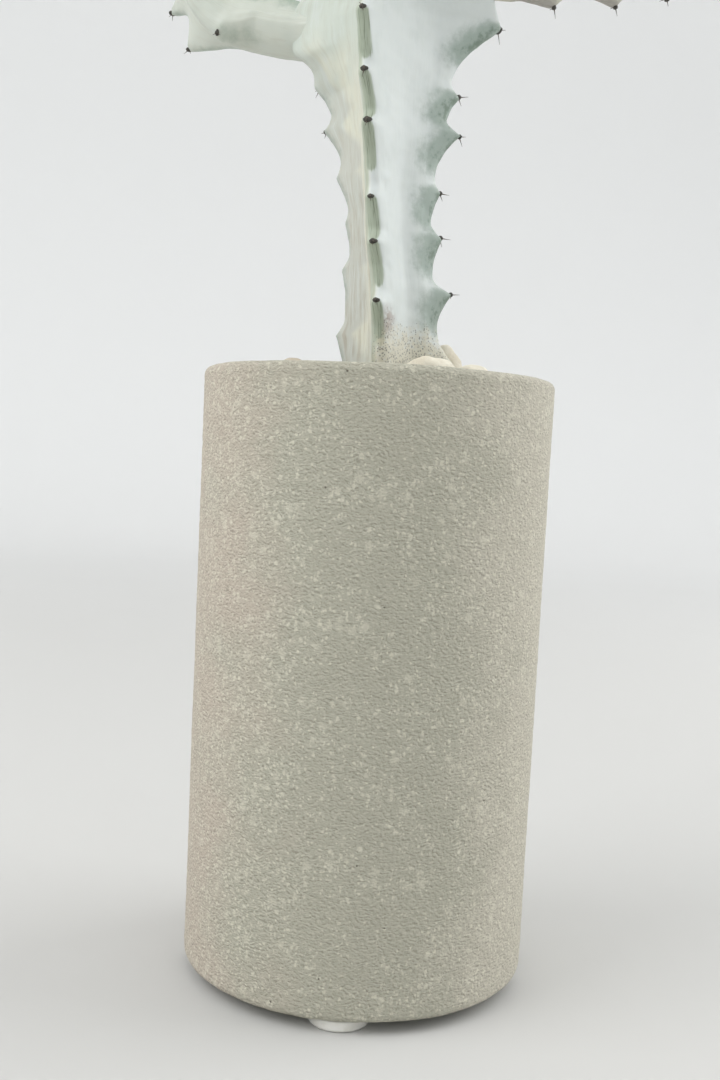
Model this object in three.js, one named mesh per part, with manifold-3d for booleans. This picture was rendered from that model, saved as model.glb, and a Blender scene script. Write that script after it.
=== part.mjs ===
// Potted ghost euphorbia: a pale three-ribbed succulent in a tall cylindrical stoneware pot.
// Millimetres, +Z up. The origin lies on the floor, under the axis of the pot.
// Everything above the foot pads is placed from the underside of the pot.

import * as THREE from 'three';
import Module from 'manifold-3d';
import { LoftGeometry } from 'three/addons/geometries/LoftGeometry.js';
import { mergeVertices } from 'three/addons/utils/BufferGeometryUtils.js';

const wasm = await Module();
wasm.setup();

// ---------------------------------------------------------------- driving dimensions

const CLEARANCE = 0.3; // gap kept between pieces that rest against each other

const POT = {
	height: 136.7, rimRadius: 40.5, footRadius: 39.9, innerRadius: 35, floor: 6,
	rimEdge: 1.8, footEdge: 1.8, innerEdge: 3, drainRadius: 6, segments: 64
};
const PAD = {
	radius: 6.7, thickness: 2.5, edge: 0.7, ringRadius: 32, firstBearing: - 94, count: 4, segments: 24
};
const MESH = { radius: 12, thickness: 1, holeRadius: 1.7, holeRing: 7.2, holes: 6 };
const FILL = { drainageTop: 24, soilTop: POT.height - 12, gravelTop: POT.height - 5, segments: 48 };
const FILL_RADIUS = POT.innerRadius - CLEARANCE;

const SECTION = { crest: 1.35, shoulder: 3.1, shoulderAt: 0.64, valleyAt: 0.44 };
const RING_STEP = 3.6; // spacing of the rings along a stem
const TIP_LENGTH = 8; // stretch over which a growing tip rounds off
const TOOTH = { below: 8.5, above: 3.8 }; // reach of a tooth down and up its rib

// ---------------------------------------------------------------- colours and finishes

const finish = ( color, roughness ) => new THREE.MeshStandardMaterial( { color, roughness, metalness: 0 } );

const stoneware = () => finish( 0xa6a396, 0.85 );
const silicone = () => finish( 0xe9e8e2, 0.45 );
const plasticMesh = () => finish( 0x2b2b2b, 0.6 );
const lavaRock = () => finish( 0x6d625a, 0.95 );
const soilMix = () => finish( 0x4a3a2c, 0.95 );
const gritBed = () => finish( 0xb9b09a, 0.9 );
const greyStone = () => finish( 0xa9a59c, 0.8 );
const creamStone = () => finish( 0xe0d8c2, 0.75 );
const paleSkin = () => finish( 0xdde2da, 0.5 );
const oliveSkin = () => finish( 0xcfd4bd, 0.5 );

// ---------------------------------------------------------------- solids

/** A manifold solid of a closed three.js geometry. */
function solidOf( geometry ) {

	const bare = new THREE.BufferGeometry().copy( geometry );
	bare.deleteAttribute( 'normal' );
	bare.deleteAttribute( 'uv' );
	const welded = mergeVertices( bare, 1e-3 );
	return new wasm.Manifold( new wasm.Mesh( {
		numProp: 3,
		vertProperties: new Float32Array( welded.attributes.position.array ),
		triVerts: new Uint32Array( welded.index.array )
	} ) );

}

/** The largest connected piece of a solid, as a three.js geometry. */
function geometryOf( solid ) {

	const largest = solid.decompose().sort( ( a, b ) => b.volume() - a.volume() )[ 0 ];
	const mesh = largest.getMesh();
	const geometry = new THREE.BufferGeometry();
	geometry.setAttribute( 'position', new THREE.BufferAttribute( mesh.vertProperties, 3 ) );
	geometry.setIndex( new THREE.BufferAttribute( mesh.triVerts, 1 ) );
	return geometry;

}

/** A closed profile of points (radius, height) turned about the Z axis. */
function turned( profile, segments ) {

	const closed = [ ...profile, profile[ 0 ] ].map( ( [ r, z ] ) => new THREE.Vector2( r, z ) );
	return new THREE.LatheGeometry( closed, segments ).rotateX( Math.PI / 2 );

}

/** Points of a quarter round of a profile, centred at (r, z), between two angles in degrees. */
function roundedEdge( r, z, radius, from, to, steps = 3 ) {

	const arc = new THREE.EllipseCurve(
		r, z, radius, radius, THREE.MathUtils.degToRad( from ), THREE.MathUtils.degToRad( to ), to < from
	);
	return arc.getPoints( steps ).map( ( p ) => [ p.x, p.y ] );

}

/** A disc from one height to another with a hole the shape of the trunk. */
function discAroundTrunk( low, high, trunkGap ) {

	const disc = new THREE.CylinderGeometry( FILL_RADIUS, FILL_RADIUS, high - low, FILL.segments );
	disc.rotateX( Math.PI / 2 ).translate( 0, 0, ( low + high ) / 2 );
	return geometryOf( solidOf( disc ).subtract( trunkGap ) );

}

// ---------------------------------------------------------------- ribbed stems

/** Straight-line value at x of a list of [x, value] pairs in rising x. */
function along( pairs, x ) {

	const next = pairs.findIndex( ( [ at ] ) => at >= x );
	if ( next === - 1 ) return pairs[ pairs.length - 1 ][ 1 ];
	if ( next === 0 ) return pairs[ 0 ][ 1 ];
	const [ a, b ] = [ pairs[ next - 1 ], pairs[ next ] ];
	return THREE.MathUtils.mapLinear( x, a[ 0 ], b[ 0 ], a[ 1 ], b[ 1 ] );

}

/** How far the teeth of a rib stand out at a distance along the stem. */
function toothHeight( teeth, distance ) {

	return Math.max( 0, ...teeth.map( ( [ at, length, below = TOOTH.below, above = TOOTH.above ] ) => {

		const share = 1 - Math.abs( distance - at ) / ( distance < at ? below : above );
		return share > 0 ? length * share ** 1.7 : 0;

	} ) );

}

/** The ring of points of one section of a stem: five for each rib, counterclockwise. */
function sectionRing( stem, frame, distance, scale, grow ) {

	const margins = stem.margins.map( ( pairs ) => along( pairs, distance ) );
	const place = ( bearing, out, side ) => {

		const angle = THREE.MathUtils.degToRad( bearing );
		const u = out * Math.cos( angle ) - side * Math.sin( angle );
		const v = out * Math.sin( angle ) + side * Math.cos( angle );
		return frame.centre.clone().addScaledVector( frame.across, u ).addScaledVector( frame.side, v );

	};
	return stem.bearings.flatMap( ( bearing, i ) => {

		const next = ( i + 1 ) % stem.bearings.length;
		const gap = ( stem.bearings[ next ] - bearing + 360 ) % 360;
		const knuckle = stem.knuckles ? along( stem.knuckles[ i ], distance ) : 0;
		const crest = margins[ i ] * scale + toothHeight( stem.teeth[ i ], distance ) * scale + grow;
		const half = ( SECTION.crest + knuckle ) * scale + grow;
		const base = margins[ i ] * SECTION.shoulderAt * scale;
		const baseHalf = ( SECTION.shoulder + knuckle ) * scale + grow;
		const valleyAt = stem.valleys ? along( stem.valleys, distance ) : SECTION.valleyAt;
		const valley = ( margins[ i ] + margins[ next ] ) / 2 * valleyAt * scale + grow;
		return [
			place( bearing, base, - baseHalf ), place( bearing, crest, - half ),
			place( bearing, crest, half ), place( bearing, base, baseHalf ),
			place( bearing + gap / 2, valley, 0 )
		];

	} );

}

/** A three-ribbed stem swept along its path, skin moved outwards by grow; level stems have flat sections. */
function ribbedStem( stem, grow = 0 ) {

	const path = new THREE.CatmullRomCurve3( stem.path.map( ( p ) => new THREE.Vector3( ...p ) ) );
	const length = path.getLength();
	const steps = Math.round( length / RING_STEP );
	const across = new THREE.Vector3( ...stem.ribDirection );
	const rings = [];
	for ( let i = 0; i <= steps; i ++ ) {

		const tangent = stem.level ? new THREE.Vector3( 0, 0, 1 ) : path.getTangentAt( i / steps );
		across.addScaledVector( tangent, - across.dot( tangent ) ).normalize();
		const side = new THREE.Vector3().crossVectors( tangent, across );
		const frame = { centre: path.getPointAt( i / steps ), across, side };
		const distance = length * i / steps;
		const past = Math.max( 0, distance - ( length - TIP_LENGTH ) ) / TIP_LENGTH;
		const scale = Math.sqrt( 1 - past * past * 0.9 );
		rings.push( sectionRing( stem, frame, distance, scale, grow ) );

	}

	return solidOf( new LoftGeometry( rings, { capStart: true, capEnd: true } ) );

}

/** Teeth at an even pitch from the first one up to the end, each [distance, length]. */
function evenTeeth( first, pitch, length, end ) {

	const count = Math.floor( ( end - first ) / pitch ) + 1;
	return Array.from( { length: count }, ( _, i ) => [ first + i * pitch, length ] );

}

// The trunk is described by height above the pot's underside, and starts at its root end.
const ROOT_END = 92;
const fromHeights = ( pairs ) => pairs.map( ( [ z, ...rest ] ) => [ z - ROOT_END, ...rest ] );
const UPPER_MARGIN = [
	[ 218, 17.5 ], [ 230, 16.5 ], [ 245, 14.5 ], [ 262, 13.5 ], [ 300, 12.5 ], [ 318, 11 ]
];
const FRONT_MARGIN = fromHeights( [
	[ 92, 4 ], [ 105, 7 ], [ 118, 9.5 ], [ 132, 12 ], [ 142, 12 ], [ 160, 11 ], [ 174, 11.5 ],
	[ 186, 13 ], [ 199, 15.1 ], [ 207, 17.3 ], ...UPPER_MARGIN
] );
const LEFT_MARGIN = fromHeights( [
	[ 92, 4 ], [ 105, 7 ], [ 118, 10 ], [ 132, 14.2 ], [ 142, 14.6 ], [ 154, 13.4 ], [ 167, 10.6 ],
	[ 175, 10.4 ], [ 187, 12.8 ], [ 199, 15.5 ], [ 206, 17.5 ], [ 210, 20 ], [ 213.5, 24 ], [ 218, 25.4 ],
	[ 223, 24 ], [ 229, 19.5 ], [ 236, 16.5 ], ...UPPER_MARGIN.slice( 2 )
] );

const trunk = {
	path: [
		[ 3.4, 0, ROOT_END ], [ 2.8, 0, 118 ], [ 2.2, 0, 140 ], [ 1.2, 0, 155 ], [ - 0.3, 0, 168 ],
		[ - 1.5, 0, 181 ], [ - 1.9, 0, 194 ], [ - 2.9, 0, 204 ], [ - 3.2, 0, 222 ], [ - 2.2, - 0.5, 250 ],
		[ 0, 0, 284 ], [ 1.5, 0.5, 318 ]
	],
	level: true,
	ribDirection: [ 1, 0, 0 ],
	bearings: [ 18, 138, 257 ],
	margins: [ FRONT_MARGIN, LEFT_MARGIN, FRONT_MARGIN ],
	teeth: [
		fromHeights( [
			[ 138, 6.6, 10, 9 ], [ 156.9, 4.5 ], [ 169.7, 2.6 ], [ 180.4, 2 ], [ 194.2, 4.6 ], [ 202.9, 3 ],
			[ 219.9, 11.3, 14, 40 ], [ 243, 3 ], [ 256, 3.4 ], [ 269, 3.2 ], [ 282, 3 ], [ 295, 2.8 ], [ 307, 2.4 ]
		] ),
		fromHeights( [
			[ 146.8, 2.8 ], [ 162, 2.1 ], [ 173, 1.4 ], [ 183.8, 1.9 ], [ 195.3, 3.9 ], [ 205.5, 2.8 ],
			[ 239, 3 ], [ 252, 3 ], [ 275, 3.2 ], [ 288, 3 ], [ 301, 2.6 ]
		] ),
		fromHeights( [
			[ 152.2, 3 ], [ 165.5, 2.5 ], [ 175.3, 2.2 ], [ 190.6, 3.5 ], [ 200.9, 3 ], [ 213.5, 3 ],
			[ 227, 3 ], [ 239, 3.2 ], [ 266, 3.2 ], [ 279, 3 ], [ 292, 2.8 ], [ 304, 2.4 ]
		] )
	],
	knuckles: [
		fromHeights( [ [ 214, 0 ], [ 220, 0.5 ], [ 228, 4 ], [ 240, 4 ], [ 250, 0 ] ] ),
		fromHeights( [ [ 203, 0 ], [ 212, 4.5 ], [ 224, 4.5 ], [ 236, 0 ], [ 250, 0 ], [ 261, 3 ], [ 271, 0 ] ] ),
		fromHeights( [ [ 242, 0 ], [ 252, 3 ], [ 262, 0 ] ] )
	]
};

/** A branch with three even ribs, each with its own first tooth. */
function branch( { path, ribDirection, margin, firstTeeth, pitch = 12, length = 3, end } ) {

	return {
		path, ribDirection, bearings: [ 0, 120, 240 ], margins: [ margin, margin, margin ],
		teeth: firstTeeth.map( ( first ) => evenTeeth( first, pitch, length, end ) )
	};

}

const branches = {
	branch_left: {
		path: [
			[ - 6, 5, 218 ], [ - 14, 10, 218.5 ], [ - 22, 14, 219 ], [ - 30, 16.5, 220.6 ], [ - 38, 18.5, 222.6 ],
			[ - 42, 19.3, 225 ], [ - 45, 20.2, 229.5 ], [ - 46.8, 21, 237 ], [ - 48, 21.5, 246 ],
			[ - 52, 23, 264 ], [ - 57, 24, 284 ], [ - 60, 24.5, 299 ]
		],
		ribDirection: [ 0, - 0.79, - 0.61 ],
		bearings: [ 0, 127, 277 ],
		valleys: [ [ 0, 0.95 ], [ 30, 0.9 ], [ 40, 0.62 ], [ 52, 0.44 ] ],
		margins: [
			[ [ 0, 4 ], [ 12, 6.4 ], [ 20, 5.8 ], [ 30, 5.6 ], [ 37, 7.6 ], [ 46, 8.8 ], [ 60, 9.5 ], [ 112, 8.5 ] ],
			[ [ 0, 5 ], [ 12, 7 ], [ 20, 6.6 ], [ 30, 7.4 ], [ 40, 7.6 ], [ 50, 7.8 ], [ 62, 9.2 ], [ 112, 8.5 ] ],
			[
				[ 0, 5 ], [ 12, 7 ], [ 20, 6.2 ], [ 30, 6 ], [ 35, 6.8 ],
				[ 40, 9.4 ], [ 45, 11.6 ], [ 62, 9.6 ], [ 112, 8.5 ]
			]
		],
		teeth: [
			[ [ 36.5, 1.4 ], ...evenTeeth( 54, 12, 3, 116 ) ],
			[ [ 26, 1.2 ], [ 38, 1.6 ], ...evenTeeth( 60, 12, 3, 116 ) ],
			[ [ 43, 6.2, 6, 2.6 ], [ 49.2, 7.6, 3, 4.6 ], ...evenTeeth( 60, 12, 3, 116 ) ]
		],
		knuckles: [ [ [ 0, 2.4 ], [ 30, 2.2 ], [ 42, 0 ] ], [ [ 0, 1 ], [ 42, 0 ] ], [ [ 0, 1 ], [ 42, 0 ] ] ]
	},
	branch_right: {
		path: [
			[ 6, 2, 230 ], [ 16, 4, 233.5 ], [ 25, 5.5, 235 ], [ 34, 7, 235.8 ], [ 44, 8, 237 ], [ 56, 9, 238.8 ],
			[ 67, 10, 241.5 ], [ 75, 11, 248 ], [ 80, 11, 259 ], [ 82, 11, 275 ], [ 83, 11, 293 ]
		],
		ribDirection: [ 0, - 0.1, - 1 ],
		bearings: [ 0, 120, 240 ],
		margins: Array( 3 ).fill( [
			[ 0, 5 ], [ 12, 9 ], [ 20, 10 ], [ 26, 9.6 ], [ 34, 9 ], [ 60, 9.3 ], [ 120, 9 ]
		] ),
		teeth: [
			[ [ 30, 2.2 ], [ 44.6, 2.9 ], [ 56.6, 2 ], [ 66, 2.6, 5, 3 ], ...evenTeeth( 78, 12, 2.6, 116 ) ],
			evenTeeth( 35, 13, 2.6, 116 ),
			evenTeeth( 40, 13, 2.6, 116 )
		]
	},
	branch_front: branch( {
		path: [
			[ - 3, - 2, 246 ], [ - 6, - 14, 251 ], [ - 7, - 24, 256 ], [ - 8, - 32.5, 265 ],
			[ - 8, - 36.5, 279 ], [ - 8, - 37.5, 301 ]
		],
		ribDirection: [ 0.1, 0, - 1 ],
		margin: [ [ 0, 4 ], [ 12, 7 ], [ 24, 7.5 ], [ 40, 8.8 ], [ 60, 9 ], [ 80, 8.5 ] ],
		firstTeeth: [ 26, 31, 36 ], end: 76
	} ),
	branch_back: branch( {
		path: [
			[ - 4, 2, 255 ], [ - 14, 12, 260 ], [ - 20, 22, 266 ], [ - 23, 31, 277 ],
			[ - 24, 36, 292 ], [ - 24, 38, 308 ]
		],
		ribDirection: [ 0, 0, - 1 ],
		margin: [ [ 0, 4 ], [ 14, 7 ], [ 28, 7.5 ], [ 42, 8.5 ], [ 60, 8.8 ], [ 80, 8.2 ] ],
		firstTeeth: [ 25, 31, 36 ], end: 74
	} ),
	branch_upper_right: branch( {
		path: [ [ 4, 1, 262 ], [ 16, 5, 269 ], [ 25, 8, 279 ], [ 28, 9, 294 ], [ 29, 9.5, 306 ] ],
		ribDirection: [ 0.3, 0, - 1 ],
		margin: [ [ 0, 4 ], [ 14, 6.2 ], [ 30, 7.2 ], [ 50, 7 ] ],
		firstTeeth: [ 24, 28, 32 ], pitch: 11, length: 2.6, end: 50
	} )
};
const leftFork = branch( {
	path: [
		[ - 48, 21.5, 246 ], [ - 60, 22.5, 251 ], [ - 72, 23, 258.5 ], [ - 81, 23, 270.5 ], [ - 84, 23, 290 ]
	],
	ribDirection: [ 0, - 0.2, - 1 ],
	margin: [ [ 0, 4 ], [ 12, 6.5 ], [ 26, 7.5 ], [ 45, 8 ], [ 60, 7.5 ] ],
	firstTeeth: [ 22, 27, 32 ], pitch: 11, length: 2.6, end: 56
} );

// ---------------------------------------------------------------- top dressing

/** A rounded pebble with half sizes along X, Y and Z, coarse as a faceted ball. */
function pebble( halfSizes ) {

	const ball = new THREE.IcosahedronGeometry( 1, 1 );
	return ball.scale( ...halfSizes );

}

// Larger stones at the foot of the trunk: centre above the pot's underside, half sizes, lean in degrees.
const FEATURE_STONES = [
	{ name: 'stone_cream_front', centre: [ 11, - 12.2, POT.height - 0.2 ], half: [ 7, 4, 4.2 ], lean: 0 },
	{
		name: 'stone_cream_leaning', centre: [ 16.4, 9.4, POT.height + 2.2 ],
		half: [ 3.6, 3.2, 7.2 ], lean: - 20
	},
	{ name: 'stone_cream_chip', centre: [ 21.4, - 5, POT.height - 0.5 ], half: [ 5.6, 3, 4 ], lean: 6 },
	{ name: 'stone_grey_front', centre: [ - 18.6, - 25, POT.height - 2 ], half: [ 3.7, 3.1, 2.9 ], lean: 0 }
];
const PEBBLE_RINGS = [
	{ radius: 30, count: 19, phase: 4, half: [ 3.4, 4.3, 2.3 ] },
	{ radius: 21, count: 13, phase: 11, half: [ 3.3, 4.3, 2.3 ] },
	{ radius: 13, count: 3, phase: 75, half: [ 2.9, 2.9, 2.3 ] }
];

/** A small repeatable variation between -1 and 1 for the nth pebble of a ring. */
function variation( ring, n, channel ) {

	return Math.sin( 12.9898 * ( n + 1 ) + 78.233 * ( ring + 1 ) + 37.719 * channel );

}

/** Places of the ring pebbles that leave the larger stones free. */
function pebblePlaces() {

	return PEBBLE_RINGS.flatMap( ( { radius, count, phase, half }, ring ) => {

		const places = [];
		for ( let n = 0; n < count; n ++ ) {

			const angle = THREE.MathUtils.degToRad( phase + 360 * n / count );
			const size = half.map( ( h, i ) => h * ( 0.93 + 0.07 * variation( ring, n, i ) ) );
			const x = radius * Math.cos( angle );
			const y = radius * Math.sin( angle );
			const taken = FEATURE_STONES.some( ( { centre, half: [ a, b ] } ) =>
				Math.hypot( x - centre[ 0 ], y - centre[ 1 ] ) < Math.max( a, b ) + half[ 1 ] );
			if ( ! taken ) places.push( { x, y, size, turn: angle + 0.2 * variation( ring, n, 3 ) } );

		}

		return places;

	} );

}

// ---------------------------------------------------------------- assembly

const part = new THREE.Group();
const aboveFeet = new THREE.Group();
aboveFeet.position.z = PAD.thickness;
part.add( aboveFeet );

/** Adds a named mesh to a group. */
function addMesh( group, name, geometry, material ) {

	const mesh = new THREE.Mesh( geometry, material );
	mesh.name = name;
	group.add( mesh );
	return mesh;

}

/** Wall, floor and drain hole of the pot, in one turned piece. */
function potGeometry() {

	const { height, rimRadius, footRadius, innerRadius, floor, drainRadius } = POT;
	const { rimEdge, footEdge, innerEdge } = POT;
	return turned( [
		[ drainRadius, 0 ],
		...roundedEdge( footRadius - footEdge, footEdge, footEdge, - 90, 0 ),
		...roundedEdge( rimRadius - rimEdge, height - rimEdge, rimEdge, 0, 90 ),
		...roundedEdge( innerRadius + rimEdge, height - rimEdge, rimEdge, 90, 180 ),
		...roundedEdge( innerRadius - innerEdge, floor + innerEdge, innerEdge, 0, - 90, 2 ),
		[ drainRadius, floor ]
	], POT.segments );

}

/** A flat silicone disc with a softened lower edge. */
function padGeometry() {

	const { radius, thickness, edge, segments } = PAD;
	const lowerEdge = roundedEdge( radius - edge, edge, edge, - 90, 0, 2 );
	const profile = [ [ 0, 0 ], ...lowerEdge, [ radius, thickness ], [ 0, thickness ] ];
	const points = profile.map( ( [ r, z ] ) => new THREE.Vector2( r, z ) );
	return new THREE.LatheGeometry( points, segments ).rotateX( Math.PI / 2 );

}

/** A thin disc with round holes that keeps the filling off the drain hole. */
function drainMeshGeometry() {

	const disc = new THREE.Shape().absarc( 0, 0, MESH.radius, 0, 2 * Math.PI );
	for ( let n = 0; n <= MESH.holes; n ++ ) {

		const angle = 2 * Math.PI * n / MESH.holes;
		const ring = n === MESH.holes ? 0 : MESH.holeRing;
		const [ x, y ] = [ ring * Math.cos( angle ), ring * Math.sin( angle ) ];
		disc.holes.push( new THREE.Path().absarc( x, y, MESH.holeRadius, 0, 2 * Math.PI, true ) );

	}

	return new THREE.ExtrudeGeometry( disc, { depth: MESH.thickness, bevelEnabled: false, curveSegments: 6 } );

}

/** The coarse layer on the pot's floor, stepped over the drain mesh and clear of the floor's round. */
function drainageGeometry() {

	const low = POT.floor;
	const step = MESH.radius + CLEARANCE;
	const profile = [
		[ 0, low + MESH.thickness + CLEARANCE ], [ step, low + MESH.thickness + CLEARANCE ], [ step, low ],
		[ FILL_RADIUS - POT.innerEdge, low ], [ FILL_RADIUS, low + POT.innerEdge ],
		[ FILL_RADIUS, FILL.drainageTop ], [ 0, FILL.drainageTop ]
	];
	const points = profile.map( ( [ r, z ] ) => new THREE.Vector2( r, z ) );
	return new THREE.LatheGeometry( points, FILL.segments ).rotateX( Math.PI / 2 );

}

for ( let n = 0; n < PAD.count; n ++ ) {

	const bearing = THREE.MathUtils.degToRad( PAD.firstBearing + 360 * n / PAD.count );
	const foot = addMesh( part, `foot_pad_${ n + 1 }`, padGeometry(), silicone() );
	foot.position.set( PAD.ringRadius * Math.cos( bearing ), PAD.ringRadius * Math.sin( bearing ), 0 );

}

addMesh( aboveFeet, 'pot', potGeometry(), stoneware() );
addMesh( aboveFeet, 'drain_mesh', drainMeshGeometry(), plasticMesh() ).position.z = POT.floor;
addMesh( aboveFeet, 'drainage_layer', drainageGeometry(), lavaRock() );

const trunkGap = ribbedStem( trunk, CLEARANCE * 1.5 );
addMesh( aboveFeet, 'potting_soil', discAroundTrunk( FILL.drainageTop, FILL.soilTop, trunkGap ), soilMix() );
addMesh( aboveFeet, 'gravel_bed', discAroundTrunk( FILL.soilTop, FILL.gravelTop, trunkGap ), gritBed() );

for ( const { name, centre, half, lean } of FEATURE_STONES ) {

	const stone = pebble( half ).rotateY( THREE.MathUtils.degToRad( lean ) ).translate( ...centre );
	const colour = name.includes( 'cream' ) ? creamStone() : greyStone();
	addMesh( aboveFeet, name, geometryOf( solidOf( stone ).subtract( trunkGap ) ), colour );

}

pebblePlaces().forEach( ( { x, y, size, turn }, n ) => {

	const name = `pebble_${ String( n + 1 ).padStart( 2, '0' ) }`;
	const stone = addMesh( aboveFeet, name, pebble( size ), greyStone() );
	stone.position.set( x, y, FILL.gravelTop + size[ 2 ] + CLEARANCE );
	stone.rotation.z = turn;

} );

addMesh( aboveFeet, 'trunk', geometryOf( ribbedStem( trunk ) ), paleSkin() );
for ( const [ name, stem ] of Object.entries( branches ) ) {

	addMesh( aboveFeet, name, geometryOf( ribbedStem( stem ).subtract( trunkGap ) ), oliveSkin() );

}

const leftGap = ribbedStem( branches.branch_left, CLEARANCE * 1.5 );
const forkSolid = ribbedStem( leftFork ).subtract( leftGap );
addMesh( aboveFeet, 'branch_left_fork', geometryOf( forkSolid ), oliveSkin() );

export default part;
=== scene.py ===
"""Potted ghost euphorbia: a pale ribbed succulent in a tall speckled stoneware pot.

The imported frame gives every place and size. This script models the finished surface of each
piece round it, paints it, and sets the floor, the light and the camera.
"""
import logging
import math
import random
from contextlib import contextmanager
from dataclasses import dataclass, field
from enum import Enum
from typing import Callable, Iterator, Sequence

import bpy
import numpy as np
from mathutils import Matrix, Vector, noise


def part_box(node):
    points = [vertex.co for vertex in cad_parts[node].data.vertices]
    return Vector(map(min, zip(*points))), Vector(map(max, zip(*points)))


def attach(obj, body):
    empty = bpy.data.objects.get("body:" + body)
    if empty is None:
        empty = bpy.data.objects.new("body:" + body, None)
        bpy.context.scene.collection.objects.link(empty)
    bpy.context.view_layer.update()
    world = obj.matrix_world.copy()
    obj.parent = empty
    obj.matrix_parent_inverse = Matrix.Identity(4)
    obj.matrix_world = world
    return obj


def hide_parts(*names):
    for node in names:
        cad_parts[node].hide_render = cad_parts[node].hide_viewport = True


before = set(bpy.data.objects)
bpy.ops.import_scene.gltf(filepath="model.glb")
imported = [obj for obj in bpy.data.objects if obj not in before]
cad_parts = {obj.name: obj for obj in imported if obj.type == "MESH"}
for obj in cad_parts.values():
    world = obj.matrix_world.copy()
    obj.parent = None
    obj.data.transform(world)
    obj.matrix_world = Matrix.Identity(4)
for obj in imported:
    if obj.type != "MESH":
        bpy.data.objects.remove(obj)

log = logging.getLogger("potted_euphorbia")

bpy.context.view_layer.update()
MM = 0.001
BODY = "root"
FOOT_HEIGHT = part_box("foot_pad_1")[1].z / MM     # the pot's underside above the floor, in mm

Colour = tuple[float, float, float, float]
Point = tuple[float, float, float]
Pairs = Sequence[tuple[float, float]]


def paint(red: float, green: float, blue: float) -> Colour:
    """A linear colour from 0 to 255 screen values."""
    shares = [c / 255 for c in (red, green, blue)]
    return (*[c / 12.92 if c <= 0.04045 else ((c + 0.055) / 1.055) ** 2.4 for c in shares], 1.0)


def read(pairs: Pairs, at: np.ndarray | float, start: float = 0.0) -> np.ndarray:
    """Reads a line of (distance, size) pairs at distances that count from a start."""
    return np.interp(at, [distance - start for distance, _ in pairs], [size for _, size in pairs])


def ramp(values: np.ndarray | float, low: float, high: float) -> np.ndarray:
    """A straight ramp from 0 at low to 1 at high; falls if low is above high."""
    return np.clip((values - low) / (high - low), 0, 1)


# ---------------------------------------------------------------- shader graphs


class Value:
    """An output socket of a shader graph. Arithmetic on it adds Math nodes."""

    def __init__(self, graph: "Graph", socket: bpy.types.NodeSocket) -> None:
        """Keeps the graph and the socket."""
        self.graph = graph
        self.socket = socket

    def __add__(self, other: "Value | float") -> "Value":
        """Sum."""
        return self.graph.math("ADD", self, other)

    def __sub__(self, other: "Value | float") -> "Value":
        """Difference."""
        return self.graph.math("SUBTRACT", self, other)

    def __mul__(self, other: "Value | float") -> "Value":
        """Product."""
        return self.graph.math("MULTIPLY", self, other)

    def __truediv__(self, other: "Value | float") -> "Value":
        """Quotient."""
        return self.graph.math("DIVIDE", self, other)

    def __radd__(self, other: float) -> "Value":
        """Sum with a number on the left."""
        return self.graph.math("ADD", other, self)

    def __rsub__(self, other: float) -> "Value":
        """A number less this value."""
        return self.graph.math("SUBTRACT", other, self)

    def __rmul__(self, other: float) -> "Value":
        """Product with a number on the left."""
        return self.graph.math("MULTIPLY", other, self)

    def __abs__(self) -> "Value":
        """Absolute value."""
        return self.graph.math("ABSOLUTE", self)

    def rise(self, low: float, high: float) -> "Value":
        """A smooth step from 0 at low to 1 at high; falls if low is above high."""
        if low > high:
            return 1 - self.rise(high, low)
        return self.graph.node(
            "MapRange", {"interpolation_type": "SMOOTHSTEP"},
            {"Value": self, "From Min": low, "From Max": high},
        )


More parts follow.
